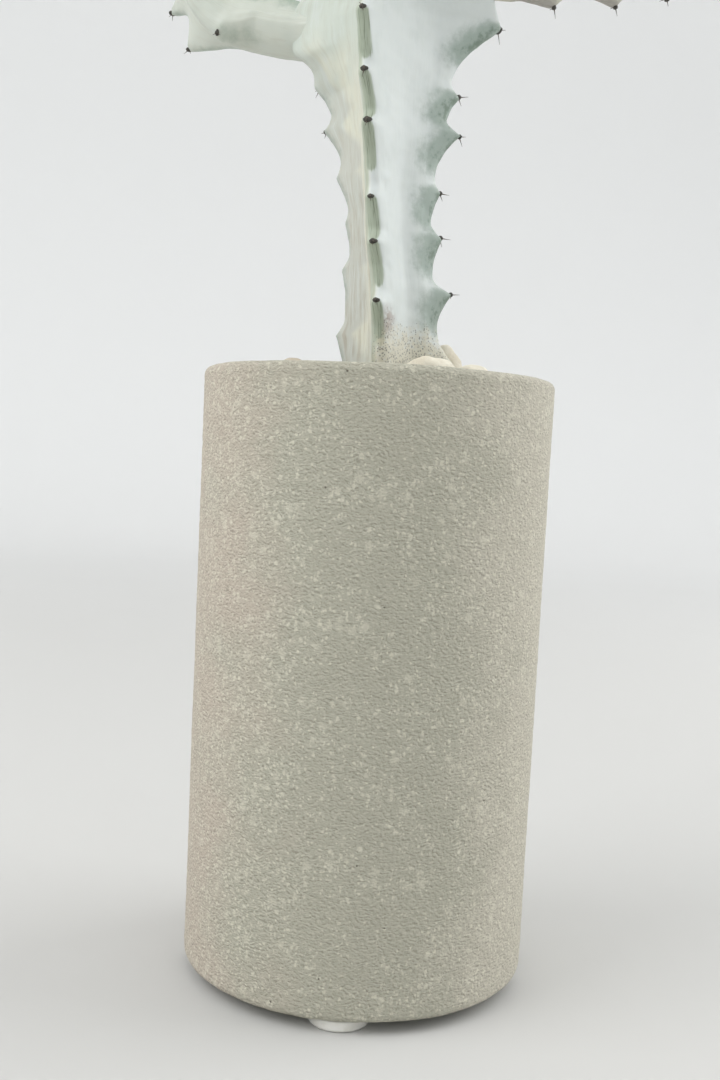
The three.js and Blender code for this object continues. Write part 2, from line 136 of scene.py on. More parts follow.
class Graph:
    """A material under construction."""

    def __init__(self, name: str) -> None:
        """Makes an empty material.

        Args:
            name: the material's name.
        """
        self.material = bpy.data.materials.new(name)
        self.material.use_nodes = True
        self.tree = self.material.node_tree
        self.tree.nodes.clear()

    def node(self, kind: str, settings: dict, values: dict, output: int | str = 0) -> Value:
        """Adds a node.

        Args:
            kind: the node's type without its ShaderNode prefix.
            settings: attributes of the node, set before its sockets.
            values: a number, colour or Value for each input, by name or index.
            output: the output to return, by name or index.

        Returns:
            The chosen output.
        """
        made = self.tree.nodes.new(f"ShaderNode{kind}")
        for key, setting in settings.items():
            setattr(made, key, setting)
        for key, value in values.items():
            socket = made.inputs[key]
            if isinstance(value, Value):
                self.tree.links.new(value.socket, socket)
            else:
                socket.default_value = value
        return Value(self, made.outputs[output])

    def math(self, operation: str, left: Value | float, right: Value | float = 0.0) -> Value:
        """Adds a Math node."""
        return self.node("Math", {"operation": operation}, {0: left, 1: right})

    def place(self) -> Value:
        """Object coordinates in millimetres."""
        at = self.node("TexCoord", {}, {}, "Object")
        return self.scaled(at, (1 / MM, 1 / MM, 1 / MM))

    def scaled(self, at: Value, factors: Point) -> Value:
        """A vector multiplied part by part."""
        return self.node("VectorMath", {"operation": "MULTIPLY"}, {0: at, 1: factors})

    def shifted(self, at: Value, offset: Value, amount: float) -> Value:
        """A vector moved by another one times an amount."""
        move = self.node("VectorMath", {"operation": "SCALE"}, {0: offset, "Scale": amount})
        return self.node("VectorMath", {"operation": "ADD"}, {0: at, 1: move})

    def far(self, at: Value, point: Point) -> Value:
        """Distance of a vector from a fixed point."""
        return self.node("VectorMath", {"operation": "DISTANCE"}, {0: at, 1: point}, "Value")

    def vector(self, x: Value | float, y: Value | float, z: Value | float) -> Value:
        """A vector from its three parts."""
        return self.node("CombineXYZ", {}, {0: x, 1: y, 2: z})

    def parts(self, at: Value) -> tuple[Value, Value, Value]:
        """The three parts of a vector."""
        split = self.node("SeparateXYZ", {}, {0: at})
        outputs = split.socket.node.outputs
        return Value(self, outputs[0]), Value(self, outputs[1]), Value(self, outputs[2])

    def attribute(self, name: str) -> Value:
        """A mesh attribute as a number."""
        return self.node("Attribute", {"attribute_name": name}, {}, "Fac")

    def noise(self, at: Value, scale: float, detail: float = 3.0, roughness: float = 0.5) -> Value:
        """Fractal noise from 0 to 1."""
        values = {"Vector": at, "Scale": scale, "Detail": detail, "Roughness": roughness}
        return self.node("TexNoise", {}, values)

    def cells(self, at: Value, scale: float) -> tuple[Value, Value]:
        """Distance to the nearest cell's centre, and a random number of that cell."""
        near = self.node("TexVoronoi", {}, {"Vector": at, "Scale": scale}, "Distance")
        colour = Value(self, near.socket.node.outputs["Color"])
        return near, self.parts(colour)[0]

    def mix(self, share: Value | float, under: Value | Colour, over: Value | Colour) -> Value:
        """Colour under covered by colour over."""
        return self.node("Mix", {"data_type": "RGBA"}, {0: share, 6: under, 7: over}, 2)

    def finish(
        self, colour: Value | Colour, roughness: Value | float, height: Value | None = None,
        depth: float = 0.1, strength: float = 1.0, **constants: float | Colour | Point,
    ) -> bpy.types.Material:
        """Closes the graph with the surface shader.

        Args:
            colour: the base colour.
            roughness: the roughness.
            height: the bump height from 0 to 1, if any.
            depth: the height of a full bump, in mm.
            strength: the share of the bump that is applied.
            **constants: further surface sockets, with spaces written as underscores.

        Returns:
            The finished material.
        """
        values = {name.replace("_", " "): value for name, value in constants.items()}
        values |= {"Base Color": colour, "Roughness": roughness}
        if height is not None:
            values["Normal"] = self.node(
                "Bump", {}, {"Strength": strength, "Distance": depth * MM, "Height": height}, "Normal"
            )
        surface = self.node("BsdfPrincipled", {}, values)
        end = self.tree.nodes.new("ShaderNodeOutputMaterial")
        self.tree.links.new(surface.socket, end.inputs["Surface"])
        return self.material


# ---------------------------------------------------------------- finishes


@dataclass(frozen=True)
class Stoneware:
    """Matte speckled stoneware: rippled like orange peel, with cream specks and dark pinholes."""

    body: Colour = paint(176, 174, 159)
    # Painted light on the left side of the pot, a little warm.
    painted_light_left: Colour = paint(190, 179, 165)
    # Painted light on the right side of the pot.
    light: Colour = paint(190, 185, 171)
    # Painted shade for the lower slopes and hollows of the ripples, also the dark tone of the grain.
    painted_shade_and_grain: Colour = paint(130, 127, 114)
    # Painted highlight for the upper slopes of the ripples.
    crest: Colour = paint(212, 208, 194)
    speck: Colour = paint(224, 221, 204)
    pinhole: Colour = paint(92, 84, 76)
    half_width: float = 40.0
    peel_scale: float = 1.9
    peel_stretch: Point = (0.62, 0.62, 1.1)
    peel_step: Point = (0.07, 0.07, 0.20)

    def material(self) -> bpy.types.Material:
        """Builds the material. Each ripple gets a painted highlight on its upper slope, and painted shade on
        its lower slope and in its hollows.
        """
        g = Graph("stoneware")
        at = g.place()
        x, _, _ = g.parts(at)
        wobble = g.node("TexNoise", {}, {"Vector": at, "Scale": 0.35, "Detail": 2.0}, "Color")
        bent = g.shifted(at, wobble, 1.6)
        flat = g.scaled(bent, self.peel_stretch)
        above = g.node("VectorMath", {"operation": "ADD"}, {0: flat, 1: self.peel_step})
        peel = g.noise(flat, self.peel_scale, 3.0, 0.55)
        slope = peel - g.noise(above, self.peel_scale, 3.0, 0.55)
        grain = g.noise(at, 3.4, 2.0, 0.6)
        clouds = g.noise(at, 0.05, 3.0) - 0.5
        # Painted light: the left and right sides are lighter than the middle.
        colour = g.mix((x / self.half_width + clouds).rise(-0.35, -0.95), self.body, self.painted_light_left)
        colour = g.mix((x / self.half_width + clouds).rise(0.30, 0.90), colour, self.light)
        aside = abs(x) / self.half_width
        # Painted highlight on the upper slope of each ripple, stronger towards the sides.
        colour = g.mix(slope.rise(0.02, 0.17) * (0.36 + aside * aside * 0.30), colour, self.crest)
        # Painted shade on the lower slope of each ripple.
        colour = g.mix(slope.rise(-0.03, -0.18) * 0.50, colour, self.painted_shade_and_grain)
        # Painted shade in the hollows of the peel.
        colour = g.mix(peel.rise(0.44, 0.28) * 0.20, colour, self.painted_shade_and_grain)
        colour = g.mix(grain.rise(0.62, 0.82) * 0.25, colour, self.painted_shade_and_grain)
        specks = self._specks(g, at, bent, aside)
        colour = g.mix(specks * 0.85, colour, self.speck)
        near, pick = g.cells(at, 0.30)
        holes = near.rise(0.075, 0.045) * pick.rise(0.86, 0.88)
        colour = g.mix(holes * 0.8, colour, self.pinhole)
        height = peel * 0.76 + grain * 0.16 + specks * 0.08 - holes * 0.5
        return g.finish(colour, 0.74 + grain * 0.12, height, depth=0.42, Specular_IOR_Level=0.36)

    def _specks(self, g: Graph, at: Value, bent: Value, aside: Value) -> Value:
        """Pale flecks of three sizes, crowded in clusters and towards the sides.

        Args:
            g: the graph.
            at: object coordinates in mm.
            bent: the same, wavering.
            aside: distance from the middle plane, 1 at the outline.

        Returns:
            How much each place is covered by a fleck.
        """
        crowd = g.noise(at, 0.10, 3.0, 0.6) - 0.5
        torn = (g.noise(at, 2.4, 4.0, 0.75) - 0.5) * 1.3
        plenty = crowd * 1.4 + aside * aside * 0.34
        specks = self._fleck(g, bent, torn, plenty, 1.4, 0.43, 0.24) * 0.66
        for scale, reach, share, cover in ((0.85, 0.42, 0.16, 0.65), (0.42, 0.44, 0.12, 0.45)):
            more = self._fleck(g, bent, torn, plenty, scale, reach, share) * cover
            specks = g.math("MAXIMUM", specks, more)
        return specks

    @staticmethod
    def _fleck(
        g: Graph, at: Value, torn: Value, plenty: Value, scale: float, reach: float, share: float,
    ) -> Value:
        """Flecks of one size with soft edges, one in each cell that is picked.

        Args:
            g: the graph.
            at: wavering coordinates in mm.
            torn: how the edges are torn.
            plenty: how much more likely a cell is picked.
            scale: the number of cells in a millimetre.
            reach: how much larger the most likely flecks are.
            share: the share of the cells that is picked.

        Returns:
            How much each place is covered.
        """
        near, pick = g.cells(at, scale)
        picked = (pick + plenty).rise(1.0 - share, 1.12 - share)
        return (near + torn - pick * reach).rise(0.14, -0.16) * picked


class Tint(Enum):
    """How a stem's skin is tinted."""

    TRUNK = "trunk"
    CREAM = "cream"
    OLIVE = "olive"


@dataclass(frozen=True)
class Skin:
    """Waxy skin of a ghost euphorbia: bone white, with grey-green patches under each areole."""

    name: str
    tint: Tint
    bone: Colour = paint(213, 219, 217)
    cream: Colour = paint(219, 219, 202)
    patch: Colour = paint(152, 166, 157)
    deep: Colour = paint(106, 124, 108)
    tongue: Colour = paint(170, 180, 162)
    streak: Colour = paint(104, 114, 96)
    scratch: Colour = paint(166, 155, 134)
    strip: Colour = paint(178, 187, 170)
    flank: Colour = paint(193, 195, 187)
    shoulder: Colour = paint(200, 208, 199)
    blush: Colour = paint(214, 186, 184)
    dust: Colour = paint(204, 198, 176)
    rust: Colour = paint(148, 126, 114)
    grit: Colour = paint(100, 100, 96)
    dust_top: float = 153.0
    dust_full: float = 139.0
    rust_at: Point = (3.6, -13.0, FOOT_HEIGHT + 148.5)

    def material(self) -> bpy.types.Material:
        """Builds the material."""
        g = Graph(self.name)
        at = g.place()
        along = g.attribute("along")
        green, tongue = g.attribute("green"), g.attribute("tongue")
        cream, young = g.attribute("cream"), g.attribute("young")
        u, v = g.attribute("u"), g.attribute("v")
        fibre = g.noise(g.vector(u * 1.3, v * 1.3, along * 0.11), 1.0, 3.0, 0.6)
        thread = g.noise(g.vector(u * 3.2, v * 3.2, along * 0.17), 1.0, 3.0, 0.6)
        clouds = g.noise(at, 0.11, 3.0, 0.55)
        mottle = g.noise(at, 0.55, 4.0, 0.6)
        colour = g.mix(cream, self.bone, self.cream)
        colour = g.mix(clouds.rise(0.45, 0.75) * 0.4, colour, g.mix(0.35, self.bone, self.patch))
        if self.tint is Tint.TRUNK:
            colour = g.mix(g.attribute("flank").rise(0.05, 0.5) * 0.85, colour, self.flank)
            colour = g.mix((along + (clouds - 0.5) * 30).rise(194, 216) * cream * 0.9, colour, self.shoulder)
            colour = g.mix(g.attribute("strip").rise(0.2, 0.7) * 0.85, colour, self.strip)
        worn = cream * (0.12 + along.rise(205, 160) * (0.30 if self.tint is Tint.TRUNK else 0.06))
        colour = g.mix(fibre.rise(0.50, 0.66) * worn, colour, self.scratch)
        colour = g.mix(thread.rise(0.54, 0.68) * worn, colour, self.scratch)
        colour = g.mix(fibre.rise(0.46, 0.34) * cream * 0.3, colour, self.bone)
        torn = green + (mottle - 0.5) * 0.6 * green.rise(0.02, 0.25)
        colour = g.mix(torn.rise(0.08, 0.66) * 0.9, colour, self.patch)
        dark = torn + (fibre - 0.5) * 0.7 + (mottle - 0.5) * 0.9
        colour = g.mix(dark.rise(0.70, 1.20) * 0.75, colour, self.deep)
        lick = tongue + (thread - 0.5) * 0.5 * tongue.rise(0.02, 0.3)
        colour = g.mix(lick.rise(0.22, 0.5), colour, self.tongue)
        colour = g.mix(lick.rise(0.3, 0.6) * thread.rise(0.50, 0.66) * 0.65, colour, self.streak)
        colour = g.mix(young * 0.5, colour, self.blush)
        if self.tint is Tint.TRUNK:
            colour = self._soiled(g, at, colour)
        height = fibre * 0.45 + thread * cream * 0.2 + mottle * 0.25 + clouds * 0.2
        rough = 0.40 + mottle * 0.16
        return g.finish(
            colour, rough, height, depth=0.16, strength=0.7, Subsurface_Weight=0.12,
            Subsurface_Radius=(1.0, 0.9, 0.7), Subsurface_Scale=1.5 * MM, Specular_IOR_Level=0.42,
        )

    def _soiled(self, g: Graph, at: Value, colour: Value) -> Value:
        """Dark grit and dust splashed on the foot of the trunk, and a rusty stain beside its front rib.

        Args:
            g: the graph.
            at: object coordinates in mm.
            colour: the clean skin.

        Returns:
            The soiled skin.
        """
        x, _, z = g.parts(at)
        near, pick = g.cells(at, 1.9)
        ragged = z + (g.noise(at, 0.35, 3.0) - 0.5) * 9
        low = ragged.rise(FOOT_HEIGHT + self.dust_top, FOOT_HEIGHT + self.dust_full)
        splashed = low * x.rise(-3.5, 0.5)
        dust = g.noise(at, 1.1, 3.0) * splashed
        colour = g.mix(dust.rise(0.08, 0.40) * 0.75, colour, self.dust)
        blot = g.noise(at, 0.7, 4.0).rise(0.30, 0.52)
        stain = g.far(at, self.rust_at).rise(5.4, 2.4) * blot * x.rise(-0.5, 1.0) * 0.8
        colour = g.mix(stain, colour, self.rust)
        dirt = g.math("MAXIMUM", splashed, stain)
        picked = (pick + dirt * 0.6).rise(0.62, 0.72)
        grit = (near + pick * 0.25).rise(0.62, 0.34) * picked * dirt.rise(0.08, 0.40)
        return g.mix(grit * 0.75, colour, self.grit)


@dataclass(frozen=True)
class Mineral:
    """A weathered stone: a body colour with veins, stains and fine pores."""

    name: str
    body: Colour
    stain: Colour
    vein: Colour
    roughness: float = 0.82

    def material(self) -> bpy.types.Material:
        """Builds the material."""
        g = Graph(self.name)
        at = g.place()
        clouds = g.noise(at, 0.16, 4.0, 0.6)
        pores = g.noise(at, 2.6, 4.0, 0.65)
        bands = g.noise(g.scaled(at, (0.3, 0.5, 1.3)), 0.5, 4.0, 0.6)
        colour = g.mix(clouds.rise(0.38, 0.66), self.body, self.stain)
        colour = g.mix(bands.rise(0.56, 0.70) * 0.5, colour, self.vein)
        colour = g.mix(pores.rise(0.60, 0.76) * 0.4, colour, self.vein)
        height = pores * 0.6 + bands * 0.4
        return g.finish(colour, self.roughness - clouds * 0.12, height, depth=0.22, Specular_IOR_Level=0.3)


@dataclass(frozen=True)
class Grains:
    """Loose grains: each grain has its own shade, carried by the mesh."""

    name: str
    pale: Colour
    dark: Colour

    def material(self) -> bpy.types.Material:
        """Builds the material."""
        g = Graph(self.name)
        at = g.place()
        shade = g.attribute("shade")
        pores = g.noise(at, 3.0, 3.0, 0.6)
        colour = g.mix(shade, self.pale, self.dark)
        colour = g.mix(pores.rise(0.5, 0.75) * 0.35, colour, self.dark)
        return g.finish(colour, 0.8 + pores * 0.12, pores, depth=0.15, Specular_IOR_Level=0.25)


@dataclass(frozen=True)
class Silicone:
    """Milky translucent silicone with a faint bloom."""

    body: Colour = paint(233, 232, 226)
    bloom: Colour = paint(216, 214, 205)

    def material(self) -> bpy.types.Material:
        """Builds the material."""
        g = Graph("silicone_pad")
        at = g.place()
        haze = g.noise(at, 0.4, 4.0)
        colour = g.mix(haze.rise(0.4, 0.7) * 0.5, self.body, self.bloom)
        return g.finish(
            colour, 0.36 + haze * 0.14, haze, depth=0.04, Subsurface_Weight=0.3,
            Subsurface_Radius=(1.0, 1.0, 0.9), Subsurface_Scale=1.2 * MM,
        )


@dataclass(frozen=True)
class Horn:
    """Dry dark horn of the spines and areoles."""

    name: str
    body: Colour
    tip: Colour

    def material(self) -> bpy.types.Material:
        """Builds the material."""
        g = Graph(self.name)
        at = g.place()
        grain = g.noise(at, 2.2, 3.0)
        colour = g.mix(grain.rise(0.35, 0.7), self.body, self.tip)
        return g.finish(colour, 0.62 + grain * 0.2, grain, depth=0.08)


@dataclass(frozen=True)
class Backdrop:
    """Pale matte paper for the floor and the wall behind."""

    wall: Colour = paint(243, 244, 244)
    floor: Colour = paint(206, 206, 204)
    floor_reach: float = 250.0
    wall_reach: float = 1750.0

    def material(self) -> bpy.types.Material:
        """Builds the material."""
        g = Graph("pale_backdrop")
        at = g.place()
        away = g.far(at, (0.0, 0.0, 0.0)) + (g.noise(at, 0.01, 2.0) - 0.5) * 40
        colour = g.mix(away.rise(self.floor_reach, self.wall_reach), self.floor, self.wall)
        return g.finish(colour, 0.9, Specular_IOR_Level=0.1)


# ---------------------------------------------------------------- modelling bench


class Bench:
    """Ways of making and finishing a mesh that every piece uses."""

    WELD = 0.002 * MM

    @staticmethod
    def clear() -> None:
        """Deselects everything."""
        bpy.ops.object.select_all(action="DESELECT")

    @staticmethod
    @contextmanager
    def editing() -> Iterator[None]:
        """Edit mode on the active piece, with everything selected."""
        bpy.ops.object.mode_set(mode="EDIT")
        bpy.ops.mesh.select_all(action="SELECT")
        yield
        bpy.ops.object.mode_set(mode="OBJECT")

    @staticmethod
    def turned(name: str, profile: Pairs, segments: int, closed: bool) -> bpy.types.Object:
        """Extrudes one vertex along a profile and spins it about the Z axis.

        Args:
            name: the piece's name.
            profile: points (radius, height) in mm.
            segments: the number of steps round.
            closed: whether the last point joins the first.

        Returns:
            The turned piece.
        """
        Bench.clear()
        bpy.ops.mesh.primitive_plane_add(size=MM)
        piece = bpy.context.object
        piece.name = name
        points = [Vector((r * MM, 0.0, z * MM)) for r, z in profile]
        if closed:
            points.append(points[0])
        with Bench.editing():
            bpy.ops.mesh.merge(type="CENTER")
            bpy.ops.transform.translate(value=points[0])
            for before, after in zip(points, points[1:]):
                bpy.ops.mesh.extrude_region_move(TRANSFORM_OT_translate={"value": after - before})
            bpy.ops.mesh.select_all(action="SELECT")
            bpy.ops.mesh.remove_doubles(threshold=Bench.WELD)
            bpy.ops.mesh.spin(steps=segments, angle=2 * math.pi, center=(0, 0, 0), axis=(0, 0, 1))
            bpy.ops.mesh.select_all(action="SELECT")
            bpy.ops.mesh.remove_doubles(threshold=Bench.WELD)
            bpy.ops.mesh.normals_make_consistent(inside=False)
        bpy.ops.object.shade_smooth()
        return piece

    @staticmethod
    def twin(name: str, source: bpy.types.Object) -> bpy.types.Object:
        """A copy of an object with its own mesh, selected alone."""
        Bench.clear()
        copy = bpy.data.objects.new(name, source.data.copy())
        bpy.context.scene.collection.objects.link(copy)
        bpy.context.view_layer.objects.active = copy
        copy.select_set(True)
        return copy

    @staticmethod
    def points(piece: bpy.types.Object) -> np.ndarray:
        """The vertices of a piece, in mm."""
        flat = np.empty(len(piece.data.vertices) * 3)
        piece.data.vertices.foreach_get("co", flat)
        return flat.reshape(-1, 3) / MM

    @staticmethod
    def set_points(piece: bpy.types.Object, points: np.ndarray) -> None:
        """Moves the vertices of a piece to places in mm."""
        piece.data.vertices.foreach_set("co", (points * MM).ravel())
        piece.data.update()

    @staticmethod
    def roughen(piece: bpy.types.Object, relief: Callable[[Vector], float]) -> None:
        """Moves each vertex along its normal.

        Args:
            piece: the piece.
            relief: the height in mm at a place in mm.
        """
        normals = np.empty(len(piece.data.vertices) * 3)
        piece.data.vertices.foreach_get("normal", normals)
        places = Bench.points(piece)
        heights = np.array([relief(Vector(p)) for p in places])
        Bench.set_points(piece, places + normals.reshape(-1, 3) * heights[:, None])

    @staticmethod
    def lump(bump: float, scale: float, offset: Point = (0.0, 0.0, 0.0)) -> None:
        """Makes the active unit ball knobbly.

        Args:
            bump: the share by which its radius changes.
            scale: how fine the knobs are.
            offset: where in the noise they are taken.
        """
        ball = bpy.context.object
        places = Bench.points(ball)
        bumps = np.array([noise.noise(Vector(p) * MM * scale + Vector(offset)) for p in places])
        Bench.set_points(ball, places * (1 + bump * bumps[:, None]))

    @staticmethod
    def mark(piece: bpy.types.Object, name: str, values: np.ndarray) -> None:
        """Stores one number a vertex."""
        layer = piece.data.attributes.new(name, "FLOAT", "POINT")
        layer.data.foreach_set("value", values.astype(np.float32).ravel())

    @staticmethod
    def copies(
        name: str, template: bpy.types.Object, places: Sequence[Matrix],
        shades: Sequence[float] | None = None,
    ) -> bpy.types.Object:
        """One mesh of many copies of a template, which is then removed.

        Args:
            name: the piece's name.
            template: the modelled shape, at the origin, in metres.
            places: a matrix for each copy.
            shades: a number from 0 to 1 for each copy, stored as the attribute "shade".

        Returns:
            The joined piece.
        """
        base = Bench.points(template) * MM
        faces = [list(p.vertices) for p in template.data.polygons]
        vertices, polygons = [], []
        for index, matrix in enumerate(places):
            m = np.array(matrix)
            vertices.append(base @ m[:3, :3].T + m[:3, 3])
            start = index * len(base)
            polygons.extend([start + v for v in face] for face in faces)
        mesh = bpy.data.meshes.new(name)
        mesh.from_pydata(np.concatenate(vertices).tolist(), [], polygons)
        mesh.polygons.foreach_set("use_smooth", [True] * len(polygons))
        piece = bpy.data.objects.new(name, mesh)
        bpy.context.scene.collection.objects.link(piece)
        if shades is not None:
            Bench.mark(piece, "shade", np.repeat(np.array(shades), len(base)))
        bpy.data.objects.remove(template)
        return piece

    @staticmethod
    def dress(piece: bpy.types.Object, material: bpy.types.Material, slot: str, *nodes: str) -> None:
        """Paints a piece, and ties it to the frame.

        Args:
            piece: the finished piece.
            material: its material.
            slot: not used.
            *nodes: the CAD nodes that it stands for.
        """
        piece.data.materials.clear()
        piece.data.materials.append(material)
        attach(piece, BODY)
        if nodes:
            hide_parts(*nodes)
        log.info("%s: %d faces", piece.name, len(piece.data.polygons))


def arc(r: float, z: float, radius: float, start: float, end: float, steps: int) -> list[tuple[float, float]]:
    """Points of a round between two angles in degrees, as (radius, height)."""
    angles = np.radians(np.linspace(start, end, steps + 1))
    return [(r + radius * math.cos(a), z + radius * math.sin(a)) for a in angles]


# ---------------------------------------------------------------- pot and feet


@dataclass
class Pot:
    """The stoneware cylinder with its drain hole."""

    inner_radius: float = 35.0
    floor: float = 6.0
    drain_radius: float = 6.0
    edge: float = 1.8
    taper: float = 0.6
    row: float = 0.68
    segments: int = 340
    inside_round: float = 3.0
    round_steps: int = 6

    def build(self) -> None:
        """Turns the pot, presses the throwing ripples into it and glazes it."""
        low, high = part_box("pot")
        radius, base, rim = high.x / MM, low.z / MM, high.z / MM
        e, foot, n, inside = self.edge, radius - self.taper, self.round_steps, self.inside_round
        floor = base + self.floor
        rows = round((rim - base - 2 * e) / self.row)
        wall = [
            (foot + (radius - foot) * k / rows, base + e + (rim - base - 2 * e) * k / rows)
            for k in range(1, rows)
        ]
        profile = [
            (self.drain_radius, base),
            *[(r, base) for r in np.linspace(2 * self.drain_radius, foot - e - 2, 8)],
            *arc(foot - e, base + e, e, -90, 0, n), *wall, *arc(radius - e, rim - e, e, 0, 90, n),
            *arc(self.inner_radius + e, rim - e, e, 90, 180, n),
            *[(self.inner_radius, z) for z in np.linspace(rim - 4, floor + 2 * inside, 14)],
            *arc(self.inner_radius - inside, floor + inside, inside, 0, -90, 4), (self.drain_radius, floor),
        ]
        pot = Bench.turned("stoneware_pot", profile, self.segments, closed=True)
        Bench.roughen(pot, self._relief)
        Bench.dress(pot, Stoneware().material(), "stoneware", "pot")

    def _relief(self, at: Vector) -> float:
        """Height of the thrown surface: broad waves, ripples longer across than up, and a rough skin."""
        broad = noise.noise(at * 0.05) * 0.10
        ripple = noise.noise(Vector((at.x * 0.30, at.y * 0.30, at.z * 0.62))) * 0.075
        peel = noise.noise(Vector((at.x * 0.62, at.y * 0.62, at.z * 1.15)) + Vector((9, 4, 2))) * 0.055
        return broad + ripple + peel - 0.05


@dataclass
class FootPads:
    """The silicone discs under the pot."""

    foot_edge: float = 0.8
    top_edge: float = 0.4
    segments: int = 72

    def build(self) -> None:
        """Turns one pad with softened edges, and copies it under each corner."""
        nodes = sorted(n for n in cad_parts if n.startswith("foot_pad_"))
        material = Silicone().material()
        low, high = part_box(nodes[0])
        radius, top, e, t = (high.x - low.x) / 2 / MM, high.z / MM, self.foot_edge, self.top_edge
        profile = [
            (0, 0), *[(r, 0) for r in np.linspace(1.5, radius - e - 0.6, 4)],
            *arc(radius - e, e, e, -90, 0, 6), *arc(radius - t, top - t, t, 0, 90, 4),
            (radius * 0.5, top), (0, top),
        ]
        master = Bench.turned("pad_master", profile, self.segments, closed=False)
        for node in nodes:
            low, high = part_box(node)
            pad = Bench.twin(f"silicone_{node}", master)
            centre = np.array([(low.x + high.x) / 2 / MM, (low.y + high.y) / 2 / MM, 0.0])
            Bench.set_points(pad, Bench.points(pad) + centre)
            Bench.dress(pad, material, "silicone_pad", node)
        bpy.data.objects.remove(master)


# ---------------------------------------------------------------- ribbed stems


# Places of a rib's seven controls on a plain stem 10 mm in radius: outwards and to the left, in mm.
PLAIN_RIB = ((6.4, -3.1), (8.0, -2.4), (9.2, -1.45), (10.0, 0.0), (9.2, 1.45), (8.0, 2.4), (6.4, 3.1))
PLAIN_VALLEY = 4.4


@dataclass
class Rib:
    """One rib of a stem. Distances run up the stem, in mm.

    Attributes:
        bearing: its bearing round the stem, in degrees.
        margin: how far its edge stands out between teeth, as (distance, radius).
        teeth: each tooth as (distance, length), with its own reach below and above if it has one.
        spread: how far a green patch spreads inwards from the edge.
        strength: how green its patches are.
        knuckle: what is added to its half width, as (distance, width).
        cream_side: 1 if the face to its left is cream, -1 if the one to its right is, 0 if neither.
        bare_below: teeth below this distance have no areole.
        tongue: whether its patches are narrow tongues along the edge.
    """

    bearing: float
    margin: Pairs
    teeth: Sequence[tuple[float, ...]]
    spread: float = 6.5
    strength: float = 0.8
    knuckle: Pairs = ((0.0, 0.0),)
    cream_side: int = 0
    bare_below: float = 0.0
    tongue: bool = False

    @property
    def fades(self) -> tuple[tuple[float, float], tuple[float, float]]:
        """Where a patch fades below its areole and above it, as distances down from the areole."""
        return ((10.5, 8.0), (-0.6, 0.6)) if self.tongue else ((12.5, 6.5), (-2.0, 0.0))


